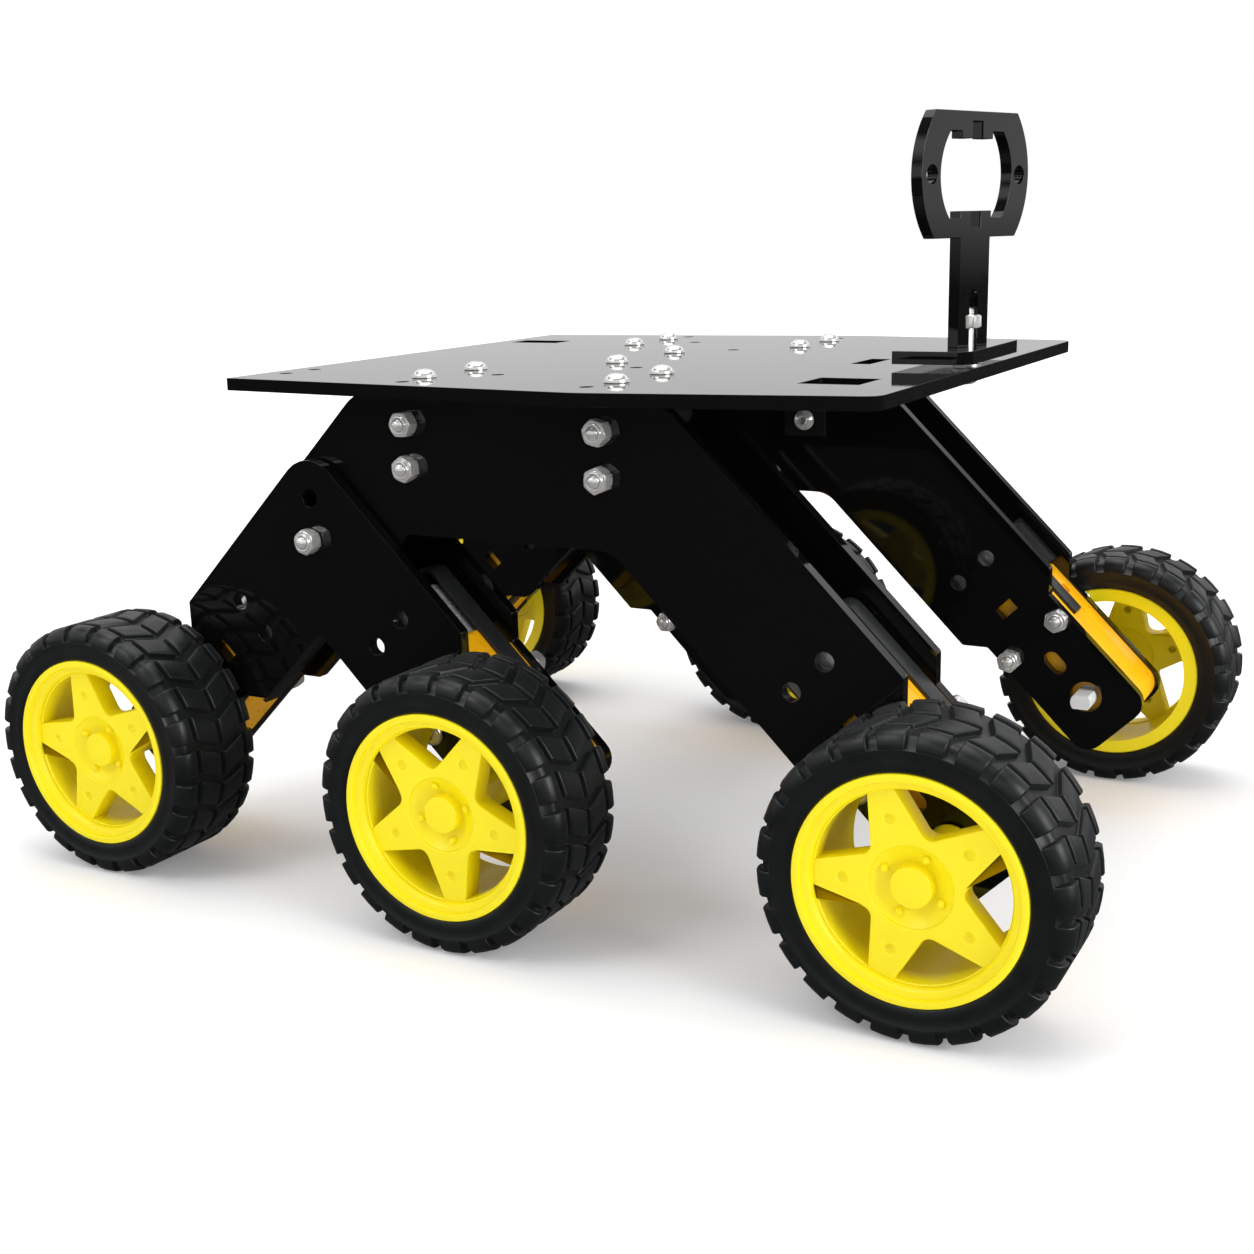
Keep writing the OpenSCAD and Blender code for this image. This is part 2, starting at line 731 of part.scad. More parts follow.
side("right") output_shaft(0, bogie_gap);  // right_mid_shaft
side("right") tyre(-axle_step, rear_tyre_y);  // right_rear_tyre
side("right") rim(-axle_step, rear_tyre_y);  // right_rear_rim
side("right") output_shaft(-axle_step, bogie_gap);  // right_rear_shaft
side("left") tyre(axle_step, front_tyre_y);  // left_front_tyre
side("left") rim(axle_step, front_tyre_y);  // left_front_rim
side("left") output_shaft(axle_step, rocker_gap);  // left_front_shaft
side("left") tyre(0, mid_tyre_y);  // left_mid_tyre
side("left") rim(0, mid_tyre_y);  // left_mid_rim
side("left") output_shaft(0, bogie_gap);  // left_mid_shaft
side("left") tyre(-axle_step, rear_tyre_y);  // left_rear_tyre
side("left") rim(-axle_step, rear_tyre_y);  // left_rear_rim
side("left") output_shaft(-axle_step, bogie_gap);  // left_rear_shaft
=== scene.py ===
"""Looks of a six-wheel rocker-bogie rover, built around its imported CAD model.

The shape functions work in millimetres, in each piece's own axes, and their
sizes come from the CAD nodes that they replace. The scene itself is in metres.
"""
import json
import math

import bmesh
import bpy
from mathutils import Matrix, Vector

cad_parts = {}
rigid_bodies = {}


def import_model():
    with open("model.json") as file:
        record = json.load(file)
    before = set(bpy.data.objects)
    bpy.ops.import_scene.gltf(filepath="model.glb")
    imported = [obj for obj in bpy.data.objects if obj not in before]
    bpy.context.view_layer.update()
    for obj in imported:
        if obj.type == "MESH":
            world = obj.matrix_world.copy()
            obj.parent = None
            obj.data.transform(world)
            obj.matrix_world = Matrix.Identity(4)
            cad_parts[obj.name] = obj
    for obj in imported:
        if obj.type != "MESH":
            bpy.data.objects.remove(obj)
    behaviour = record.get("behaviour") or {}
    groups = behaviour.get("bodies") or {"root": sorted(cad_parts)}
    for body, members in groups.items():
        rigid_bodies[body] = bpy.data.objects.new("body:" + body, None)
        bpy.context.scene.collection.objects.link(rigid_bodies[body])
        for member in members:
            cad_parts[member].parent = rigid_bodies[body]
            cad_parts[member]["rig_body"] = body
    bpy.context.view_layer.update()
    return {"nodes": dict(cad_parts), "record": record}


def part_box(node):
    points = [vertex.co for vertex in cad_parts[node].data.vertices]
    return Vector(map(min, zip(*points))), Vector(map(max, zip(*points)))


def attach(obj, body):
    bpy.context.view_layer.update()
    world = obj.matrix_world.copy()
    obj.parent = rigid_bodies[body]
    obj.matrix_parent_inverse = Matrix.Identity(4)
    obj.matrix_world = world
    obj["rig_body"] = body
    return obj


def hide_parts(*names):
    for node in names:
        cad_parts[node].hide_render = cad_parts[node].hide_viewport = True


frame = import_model()

MM = 0.001
SIDES = {"right": -1, "left": 1}
WHEELS = ("front", "mid", "rear")

# How far each wheel has turned, as the angle in degrees of one of its arms
ARM_ANGLE = {
    ("right", "front"): 37, ("right", "mid"): -10, ("right", "rear"): 31,
    ("left", "front"): 15, ("left", "mid"): 52, ("left", "rear"): -24,
}


# ---------- meshes ----------

class Shape:
    """Points and faces of one piece, in millimetres."""

    def __init__(self):
        self.points = []
        self.faces = []

    def add(self, part, place=None):
        points, faces = part
        first = len(self.points)
        for point in points:
            self.points.append(place @ Vector(point) if place else Vector(point))
        self.faces += [tuple(first + i for i in face) for face in faces]
        return self

    def mesh(self, name, sharp_angle=35):
        mesh = bpy.data.meshes.new(name)
        mesh.from_pydata([p * MM for p in self.points], [], self.faces)
        edit = bmesh.new()
        edit.from_mesh(mesh)
        bmesh.ops.recalc_face_normals(edit, faces=edit.faces)
        edit.to_mesh(mesh)
        edit.free()
        mesh.shade_smooth()
        mesh.set_sharp_from_angle(angle=math.radians(sharp_angle))
        return mesh


def loft(rings, closed=False):
    """Skin between rings of as many points each, capped at both ends unless closed."""
    count = len(rings[0])
    points = [point for ring in rings for point in ring]
    faces = []
    for i in range(len(rings) if closed else len(rings) - 1):
        low, high = i * count, (i + 1) % len(rings) * count
        for k in range(count):
            m = (k + 1) % count
            faces.append((low + k, low + m, high + m, high + k))
    if not closed:
        faces.append(tuple(reversed(range(count))))
        faces.append(tuple(len(points) - count + k for k in range(count)))
    return points, faces


def ring(radius, z, count=48):
    """Points round Z. The radius is a number or a function of the angle."""
    points = []
    for k in range(count):
        angle = 2 * math.pi * k / count
        r = radius(angle) if callable(radius) else radius
        points.append((r * math.cos(angle), r * math.sin(angle), z))
    return points


def lathe(profile, count=48, closed=False):
    """A turned solid from (radius, z) pairs, from its bottom to its top."""
    return loft([ring(radius, z, count) for radius, z in profile], closed)


def arc(centre, radius, start, end, steps=6):
    """(x, y) points of an arc, with its angles in degrees."""
    angles = [math.radians(start + (end - start) * i / steps) for i in range(steps + 1)]
    return [(centre[0] + radius * math.cos(a), centre[1] + radius * math.sin(a))
            for a in angles]


def hexagon(flats, limit=1e9):
    """Radius of a hexagon at an angle, from its width across flats, cut off at a limit."""
    sixth = math.pi / 3

    def radius(angle):
        return min(limit, flats / 2 / math.cos((angle + sixth / 2) % sixth - sixth / 2))
    return radius


def place_piece(name, mesh, body, replaced, material, matrix=None):
    """A finished piece: in place, in its material, riding on its body."""
    piece = bpy.data.objects.new(name, mesh)
    bpy.context.scene.collection.objects.link(piece)
    if matrix:
        piece.matrix_world = matrix
    if not mesh.materials:
        mesh.materials.append(material)
    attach(piece, body)
    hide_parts(*replaced)
    return piece


# ---------- sizes read from the CAD nodes ----------

def node_body(node):
    return frame["nodes"][node]["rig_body"]


def solids(node):
    """The separate solids of a CAD node, each as its list of points in millimetres."""
    mesh = frame["nodes"][node].data
    owner = {}

    def root(key):
        while owner[key] != key:
            key = owner[key]
        return key

    keys = [tuple(round(c, 6) for c in vertex.co) for vertex in mesh.vertices]
    for key in keys:
        owner[key] = key
    for face in mesh.polygons:
        first = root(keys[face.vertices[0]])
        for index in face.vertices[1:]:
            owner[root(keys[index])] = first
    groups = {}
    for key in dict.fromkeys(keys):
        groups.setdefault(root(key), []).append(Vector(key) / MM)
    return list(groups.values())


def span(points, place=None):
    """Lowest and highest corner of some points, in the axes of a place."""
    if place:
        points = [place.inverted() @ p for p in points]
    low = Vector([min(p[i] for p in points) for i in range(3)])
    high = Vector([max(p[i] for p in points) for i in range(3)])
    return low, high


def box_mm(node):
    low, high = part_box(node)
    return low / MM, high / MM


def node_points(node):
    return [vertex.co / MM for vertex in frame["nodes"][node].data.vertices]


def axes(x, z, origin):
    """A place with the given X and Z directions, in millimetres."""
    x, z = Vector(x).normalized(), Vector(z).normalized()
    y = z.cross(x)
    return Matrix((
        (x[0], y[0], z[0], origin[0]), (x[1], y[1], z[1], origin[1]),
        (x[2], y[2], z[2], origin[2]), (0, 0, 0, 1)))


def in_metres(place):
    scaled = place.copy()
    scaled.translation = place.translation * MM
    return scaled


def leg_place(side, wheel):
    """Leg axes: X up the leg from the axle, Z outwards from the middle of the gap."""
    tyre_low, tyre_high = box_mm(f"{side}_{wheel}_tyre")
    gear_low, gear_high = box_mm(f"{side}_{wheel}_gearbox")
    motor_low, motor_high = box_mm(f"{side}_{wheel}_motor")
    axle = (tyre_low + tyre_high) / 2
    axle.y = (gear_low.y + gear_high.y) / 2
    up_leg = (motor_low + motor_high) / 2 - axle
    up_leg.y = 0
    return axes(up_leg, (0, SIDES[side], 0), axle)


# ---------- materials ----------

class Nodes:
    """A material's node tree, with short calls for the nodes that are used here."""

    def __init__(self, name, sockets):
        self.material = bpy.data.materials.new(name)
        self.material.use_nodes = True
        self.tree = self.material.node_tree
        self.shader = self.tree.nodes["Principled BSDF"]
        for socket, value in sockets.items():
            self.shader.inputs[socket].default_value = value
        self.place = self.tree.nodes.new("ShaderNodeTexCoord").outputs["Object"]

    def link(self, source, target):
        self.tree.links.new(source, target)

    def noise(self, scale, detail=4, stretch=(1, 1, 1), roughness=0.55):
        """Noise from 0 to 1, with its scale in cycles per metre."""
        mapping = self.tree.nodes.new("ShaderNodeMapping")
        mapping.inputs["Scale"].default_value = stretch
        self.link(self.place, mapping.inputs["Vector"])
        texture = self.tree.nodes.new("ShaderNodeTexNoise")
        texture.inputs["Scale"].default_value = scale
        texture.inputs["Detail"].default_value = detail
        texture.inputs["Roughness"].default_value = roughness
        self.link(mapping.outputs["Vector"], texture.inputs["Vector"])
        return texture.outputs["Fac"]

    def ranged(self, source, low, high, start=0.3, end=0.7):
        node = self.tree.nodes.new("ShaderNodeMapRange")
        node.inputs["From Min"].default_value = start
        node.inputs["From Max"].default_value = end
        node.inputs["To Min"].default_value = low
        node.inputs["To Max"].default_value = high
        self.link(source, node.inputs["Value"])
        return node.outputs["Result"]

    def colour(self, source, low, high, start=0.3, end=0.7):
        ramp = self.tree.nodes.new("ShaderNodeValToRGB")
        ramp.color_ramp.elements[0].position = start
        ramp.color_ramp.elements[0].color = (*low, 1)
        ramp.color_ramp.elements[1].position = end
        ramp.color_ramp.elements[1].color = (*high, 1)
        self.link(source, ramp.inputs["Fac"])
        self.link(ramp.outputs["Color"], self.shader.inputs["Base Color"])

    def roughness(self, source, low, high, start=0.3, end=0.7):
        self.link(self.ranged(source, low, high, start, end), self.shader.inputs["Roughness"])

    def bump(self, source, depth, strength=1.0):
        """Relief of a depth in metres. A second call adds to the first."""
        node = self.tree.nodes.new("ShaderNodeBump")
        node.inputs["Distance"].default_value = depth
        node.inputs["Strength"].default_value = strength
        self.link(source, node.inputs["Height"])
        normal = self.shader.inputs["Normal"]
        if normal.is_linked:
            self.link(normal.links[0].from_socket, node.inputs["Normal"])
        self.link(node.outputs["Normal"], normal)


def black_acrylic():
    """Polished cast sheet: near black, with faint haze and a slightly wavy face."""
    m = Nodes("black_acrylic", {"IOR": 1.49, "Specular IOR Level": 0.5})
    m.colour(m.noise(9), (0.0020, 0.0021, 0.0020), (0.0034, 0.0037, 0.0035))
    m.roughness(m.noise(28, 6, roughness=0.7), 0.015, 0.075, 0.45, 0.8)
    m.bump(m.noise(14, 2), 0.00012, 0.12)
    m.bump(m.noise(5200, 2), 0.000004, 0.25)
    return m.material


def tyre_rubber():
    """Matt charcoal rubber with a fine mould grain."""
    m = Nodes("tyre_rubber", {"IOR": 1.5, "Specular IOR Level": 0.36, "Sheen Weight": 0.04,
                              "Sheen Roughness": 0.5})
    m.colour(m.noise(60, 6, roughness=0.65), (0.0034, 0.0042, 0.0046), (0.0062, 0.0076, 0.0082))
    m.roughness(m.noise(220, 5), 0.30, 0.46)
    m.bump(m.noise(1500, 4), 0.00006, 0.35)
    m.bump(m.noise(5200, 3), 0.00002, 0.4)
    return m.material


def moulded_plastic(name, low, high, glow, roughness):
    """Bright satin plastic with soft colour drift, mould grain and a little depth."""
    m = Nodes(name, {"IOR": 1.5, "Specular IOR Level": 0.45, "Subsurface Weight": glow,
                     "Subsurface Radius": (0.9, 0.55, 0.12), "Subsurface Scale": 0.0012})
    m.colour(m.noise(38, 3), low, high)
    m.roughness(m.noise(420, 5), *roughness)
    m.bump(m.noise(900, 4), 0.00003, 0.22)
    m.bump(m.noise(90, 2), 0.00008, 0.12)
    return m.material


def plated_metal(name, low, high, roughness, stretch=(1, 1, 1), metallic=0.75):
    """Plated steel, with roughness streaks that follow the stretch."""
    m = Nodes(name, {"Metallic": metallic, "IOR": 1.6})
    m.colour(m.noise(160, 4, stretch), low, high)
    m.roughness(m.noise(700, 5, stretch), *roughness)
    m.bump(m.noise(2600, 3, stretch), 0.00001, 0.3)
    return m.material


def strap_plastic():
    """Matt black moulded plastic with a coarse grain."""
    m = Nodes("black_strap", {"IOR": 1.5, "Specular IOR Level": 0.5})
    m.colour(m.noise(70, 4), (0.010, 0.0108, 0.0115), (0.020, 0.0215, 0.023))
    m.roughness(m.noise(500, 4), 0.34, 0.50)
    m.bump(m.noise(1800, 4), 0.00004, 0.4)
    return m.material


MATERIALS = {
    "black_acrylic": black_acrylic(),
    "tyre_rubber": tyre_rubber(),
    "yellow_rim": moulded_plastic(
        "yellow_rim", (0.90, 0.75, 0.003), (0.95, 0.80, 0.004), 0.06, (0.30, 0.44)),
    "amber_gearbox": moulded_plastic(
        "amber_gearbox", (0.93, 0.43, 0.003), (1.0, 0.50, 0.005), 0.06, (0.26, 0.40)),
    "white_nylon": moulded_plastic(
        "white_nylon", (0.72, 0.72, 0.70), (0.82, 0.82, 0.79), 0.15, (0.32, 0.48)),
    "black_strap": strap_plastic(),
    "motor_steel": plated_metal(
        "motor_steel", (0.72, 0.73, 0.75), (0.86, 0.86, 0.87), (0.18, 0.32), (1, 12, 1), 0.6),
    "nickel_steel": plated_metal(
        "nickel_steel", (0.80, 0.79, 0.77), (0.93, 0.92, 0.90), (0.12, 0.24), metallic=0.66),
    "bracket_steel": plated_metal(
        "bracket_steel", (0.020, 0.020, 0.021), (0.034, 0.034, 0.036), (0.28, 0.42), (1, 6, 1)),
}


# ---------- tyre ----------

class Tread:
    """Tread path across a tyre: u runs from one sidewall over the crown to the other.

    Heights are above the bottom of the grooves.
    """
    groove = 1.3
    corner = 1.7
    edge = 1.2
    wall = 1.2

    def __init__(self, radius, width):
        self.radius = radius - self.groove
        self.width = width
        self.bend = self.corner * math.pi / 2
        self.flat = width - 2 * (self.edge + self.corner)
        self.length = 2 * (self.wall + self.bend) + self.flat

    def at(self, u, height):
        """(distance in from the outer side, radius) of a point of the tread."""
        if u > self.length / 2:
            inset, radius = self.at(self.length - u, height)
            return self.width - inset, radius
        centre = (self.edge + self.corner, self.radius - self.corner)
        if u < self.wall:
            return self.edge - height, centre[1] - self.wall + u
        if u < self.wall + self.bend:
            turn = (u - self.wall) / self.corner
            reach = self.corner + height
            return centre[0] - reach * math.cos(turn), centre[1] + reach * math.sin(turn)
        return centre[0] + u - self.wall - self.bend, self.radius + height

    def u_of(self, inset):
        """Path length at a distance in from the outer side, on the crown."""
        return self.wall + self.bend + inset - self.edge - self.corner

    def point(self, u, angle, height):
        inset, radius = self.at(u, height)
        turn = math.radians(angle)
        return radius * math.cos(turn), radius * math.sin(turn), self.width - inset


def tread_block(tread, u_range, half_angle, centre, slant, tall):
    """One closed block. slant turns its inner end back by so many degrees."""
    foot, round_over = 0.32, 0.32
    length = u_range[1] - u_range[0]
    degree = math.radians(1) * tread.radius
    half = half_angle * degree

    def lines(size, inner_steps):
        """Offsets from an edge, with the height share at each."""
        rise = [(-foot - 0.05, -0.5), (-foot, 0.0), (-foot / 2, 0.10), (-0.08, 0.30),
                (0.0, 0.80), (round_over / 3, 0.95), (round_over, 1.0)]
        inner = [(round_over + (size - 2 * round_over) * i / inner_steps, 1.0)
                 for i in range(1, inner_steps)]
        fall = [(size - offset, share) for offset, share in reversed(rise)]
        return rise + inner + fall

    across = lines(length, 5)
    along = lines(2 * half, 2)
    rings = []
    for u_offset, u_share in across:
        share_in = min(max(u_offset / length, 0), 1)
        row = []
        for t_offset, t_share in along:
            angle = centre - slant * share_in + (t_offset - half) / degree
            row.append(tread.point(u_range[0] + u_offset, angle, tall * min(u_share, t_share)))
        rings.append(row)
    count = len(along)
    points = [p for row in rings for p in row]
    faces = []
    for i in range(len(rings) - 1):
        for k in range(count - 1):
            a = i * count + k
            faces.append((a, a + 1, a + count + 1, a + count))
    rim_loop = list(range(count))
    rim_loop += [i * count + count - 1 for i in range(1, len(rings))]
    rim_loop += [(len(rings) - 1) * count + k for k in reversed(range(count - 1))]
    rim_loop += [i * count for i in reversed(range(1, len(rings) - 1))]
    faces.append(tuple(reversed(rim_loop)))
    return points, faces


def tyre_mesh(radius, width, seat):
    """Rubber tyre: plain sidewalls with a raised ring, and four rows of blocks."""
    pitches = 24
    inner_r = 22.0
    bead = 1.6
    band = [(28.25, 0.0), (28.45, -0.13), (28.75, -0.13), (28.95, 0.12), (29.1, 0.75)]
    tread = Tread(radius, width)
    shape = Shape()

    # (radius, distance in from the outer side), up the sidewall from the rim
    side = [(seat, bead), (seat + 0.05, 0.35), (seat + 0.5, 0.0), (seat + 2.2, -0.02)] + band
    crown = [tread.at(tread.length * i / 40, 0) for i in range(3, 21)]
    half = [(inset, r) for r, inset in side] + crown
    profile = [(r, width - inset) for inset, r in half]
    profile += [(r, inset) for inset, r in reversed(half[:-1])]
    profile += [(inner_r, bead), (inner_r, width - bead)]
    shape.add(lathe(profile, 144, closed=True))

    # (path range, half angle, slant) of a shoulder block and of one next to the middle
    shoulder = ((0.25, tread.u_of(4.0)), 5.3, 0)
    centre = ((tread.u_of(5.5), tread.u_of(12.2)), 5.2, 5.2)
    for i in range(pitches):
        angle = i * 360 / pitches
        for mirrored in (False, True):
            for u_range, half_angle, slant in (shoulder, centre):
                block = tread_block(tread, u_range, half_angle, angle, slant, tread.groove)
                if mirrored:
                    points = [(x, y, width - z) for x, y, z in block[0]]
                    block = (points, [tuple(reversed(face)) for face in block[1]])
                shape.add(block)
    return shape.mesh("tyre", 50)


# ---------- rim ----------

def fillet(before, corner, after, radius):
    """Arc that rounds a corner between its two neighbours."""
    before, corner, after = Vector(before), Vector(corner), Vector(after)
    to_before = (before - corner).normalized()
    to_after = (after - corner).normalized()
    half = to_before.angle(to_after) / 2
    centre = corner + (to_before + to_after).normalized() * radius / math.sin(half)
    start = corner + to_before * radius / math.tan(half) - centre
    end = corner + to_after * radius / math.tan(half) - centre
    first = math.degrees(math.atan2(start.y, start.x))
    turn = (math.degrees(math.atan2(end.y, end.x)) - first + 180) % 360 - 180
    return arc(centre, radius, first, first + turn)


def cut_plate(name, outlines, thickness, round_edge):
    """Flat plate with rounded edges, from its outer outline and its holes."""
    curve = bpy.data.curves.new(name, "CURVE")
    curve.dimensions = "2D"
    curve.fill_mode = "BOTH"
    curve.extrude = thickness / 2 - round_edge
    curve.bevel_depth = round_edge
    curve.bevel_resolution = 2
    curve.offset = -round_edge
    for outline in outlines:
        spline = curve.splines.new("POLY")
        spline.points.add(len(outline) - 1)
        for point, (x, y) in zip(spline.points, outline):
            point.co = (x, y, 0, 1)
        spline.use_cyclic_u = True
    holder = bpy.data.objects.new(name, curve)
    bpy.context.scene.collection.objects.link(holder)
    depsgraph = bpy.context.evaluated_depsgraph_get()
    mesh = bpy.data.meshes.new_from_object(holder.evaluated_get(depsgraph))
    bpy.data.objects.remove(holder)
    points = [tuple(v.co) for v in mesh.vertices]
    faces = [tuple(p.vertices) for p in mesh.polygons]
    bpy.data.meshes.remove(mesh)
    return points, faces


def circle(radius, centre=(0, 0), count=48):
    return [(centre[0] + x, centre[1] + y) for x, y, _ in ring(radius, 0, count)]


def turned(points, angle):
    c, s = math.cos(math.radians(angle)), math.sin(math.radians(angle))
    return [(x * c - y * s, x * s + y * c) for x, y in points]


def rim_barrel(radius, width, barrel):
    """Turned ring that carries the tyre, with a stepped lip on its outer side."""
    seat = radius - 2
    return lathe([
        (barrel, 0.4), (radius - 0.3, 0.4), (radius, 0.7), (radius, 1.6), (seat, 1.7),
        (seat, width - 1.7), (radius, width - 1.6), (radius, width - 0.15),
        (radius - 0.12, width + 0.08), (radius - 0.4, width + 0.18), (radius - 1.3, width + 0.18),
        (radius - 1.6, width + 0.05), (radius - 1.75, width - 0.3), (radius - 1.85, width - 0.85),
        (radius - 2.1, width - 1.0), (radius - 2.9, width - 1.1), (radius - 3.2, width - 1.3),
        (barrel, width - 1.9), (barrel - 0.1, width - 2.4), (barrel, width - 3.2)], 144, closed=True)


def star_plate(arms, arm_t, barrel, dish_r, dimple_r, dimple_at):
    """Flat star of arms, with a hole for the dish and one for each arm's dimple.

    An arm's side is the line y = tip + slope * (tip_at - x), along the arm's own X. The
    knee is where it meets the side of the next arm.
    """
    tip, slope, tip_at = 2.95, 0.25, 20.2
    knee_r = 2.2
    half_turn = math.pi / arms
    knee = (tip + slope * tip_at) / (math.sin(half_turn) + slope * math.cos(half_turn))
    rim_angle = math.degrees(half_turn) - math.degrees(math.asin(tip / tip_at))
    outer = arc((0, 0), barrel - 0.35, -rim_angle, rim_angle, 8)
    window = outer + fillet(outer[-1], (knee, 0), outer[0], knee_r)
    outlines = [circle(barrel + 0.5, count=144), circle(dish_r)]
    for i in range(arms):
        outlines.append(turned(window, (i + 0.5) * 360 / arms))
        outlines.append(turned(circle(dimple_r, (dimple_at, 0), 20), i * 360 / arms))
    return cut_plate("rim_plate", outlines, arm_t, 0.4)


def rim_mesh(radius, width, back, barrel):
    """Five-armed rim. Z = 0 is the tyre's inner side and Z = width its outer side."""
    arms = 5
    face = width - 2.7
    arm_t = 5.4
    dish_r, cap_r = 8.6, 4.3
    dimple_r, dimple_at = 0.95, 14.3
    pins, pin_r, pin_at, first_pin = 4, 0.85, 6.45, 28
    tube_r, bore_r = 4.6, 2.8
    shape = Shape()
    shape.add(rim_barrel(radius, width, barrel))
    star = star_plate(arms, arm_t, barrel, dish_r, dimple_r, dimple_at)
    shape.add(star, Matrix.Translation((0, 0, face - arm_t / 2)))

    pit = [(1.5, face - 3), (1.5, face - 1.2), (0.97, face - 0.45), (0.6, face - 0.72),
           (0.15, face - 0.82)]
    for i in range(arms):
        arm = Matrix.Rotation(i * 2 * math.pi / arms, 4, "Z")
        shape.add(lathe(pit, 20), arm @ Matrix.Translation((dimple_at, 0, 0)))

    dish = [(dish_r + 0.9, face - arm_t + 0.6), (dish_r + 0.9, face - 0.7),
            (dish_r - 0.03, face - 0.42), (dish_r - 1.2, face - 1.25),
            (cap_r + 1.0, face - 2.35), (cap_r + 0.25, face - 2.45), (cap_r, face - 2.0),
            (cap_r, face - 0.1), (cap_r - 0.15, face + 0.12), (cap_r - 0.45, face + 0.2),
            (0.5, face + 0.24)]
    shape.add(lathe(dish, 96))

    pin_top = arc((0, 0), pin_r, 0, 84, 5)
    pin = [(pin_r, face - 3.0)] + [(x, face - 1.3 + y) for x, y in pin_top]
    for i in range(pins):
        turn = Matrix.Rotation(math.radians(first_pin + 360 / pins * i), 4, "Z")
        shape.add(lathe(pin, 20), turn @ Matrix.Translation((pin_at, 0, 0)))

    tube_top = face - arm_t + 0.3
    tube = [(bore_r, back), (tube_r - 0.3, back), (tube_r, back + 0.3), (tube_r, tube_top),
            (bore_r, tube_top)]
    shape.add(lathe(tube, 48, closed=True))
    return shape.mesh("rim", 32)


def build_wheels():
    """Every wheel has its own turned copy of one tyre mesh and one rim mesh."""
    low, high = box_mm("right_front_tyre")
    radius = (high.x - low.x) / 2
    width = high.y - low.y
    rim_low, rim_high = box_mm("right_front_rim")
    rim_r = (rim_high.x - rim_low.x) / 2
    hub_back = rim_high.y - high.y
    barrel_wall = 3.6
    tyre = tyre_mesh(radius, width, rim_r)
    rim = rim_mesh(rim_r, width, -hub_back, rim_r - barrel_wall)
    for side, outward in SIDES.items():
        for wheel in WHEELS:
            low, high = box_mm(f"{side}_{wheel}_tyre")
            centre = (low + high) / 2
            centre.y = low.y if outward > 0 else high.y
            angle = math.radians(ARM_ANGLE[side, wheel]) * -outward
            place = axes((1, 0, 0), (0, outward, 0), centre)
            body = f"{side}_{wheel}_wheel"
            for kind, mesh, slot in (("tyre", tyre, "tyre_rubber"), ("rim", rim, "yellow_rim")):
                copy = mesh.copy()
                copy.transform(Matrix.Rotation(angle, 4, "Z"))
                place_piece(f"{body}_{kind}", copy, body, [f"{side}_{wheel}_{kind}"],
                            MATERIALS[slot], in_metres(place))


# ---------- gearmotors ----------

def rounded_rectangle(low, high, front_r, back_r, inset):
    """Outline with its low-X corners rounded by front_r and the others by back_r."""
    x0, y0, x1, y1 = low[0] + inset, low[1] + inset, high[0] - inset, high[1] - inset
    f, b = front_r - inset, back_r - inset
    return (arc((x0 + f, y0 + f), f, 180, 270) + arc((x1 - b, y0 + b), b, 270, 360)
            + arc((x1 - b, y1 - b), b, 0, 90) + arc((x0 + f, y1 - f), f, 90, 180))


def cut(mesh, cutters):
    """The mesh with the cutters taken out of it."""
    body = bpy.data.objects.new("cut_body", mesh)
    bpy.context.scene.collection.objects.link(body)
    tools = []
    for shape in cutters:
        tool = bpy.data.objects.new("cut_tool", shape.mesh("cut_tool"))
        bpy.context.scene.collection.objects.link(tool)
        tools.append(tool)
        step = body.modifiers.new("cut", "BOOLEAN")
        step.operation = "DIFFERENCE"
        step.solver = "EXACT"
        step.object = tool
    depsgraph = bpy.context.evaluated_depsgraph_get()
    result = bpy.data.meshes.new_from_object(body.evaluated_get(depsgraph))
    for item in (body, *tools):
        bpy.data.objects.remove(item)
    result.shade_smooth()
    result.set_sharp_from_angle(angle=math.radians(35))
    return result


def block(low, high):
    """A box as a loft."""
    corners = [(low[0], low[1]), (high[0], low[1]), (high[0], high[1]), (low[0], high[1])]
    return loft([[(x, y, z) for x, y in corners] for z in (low[2], high[2])])


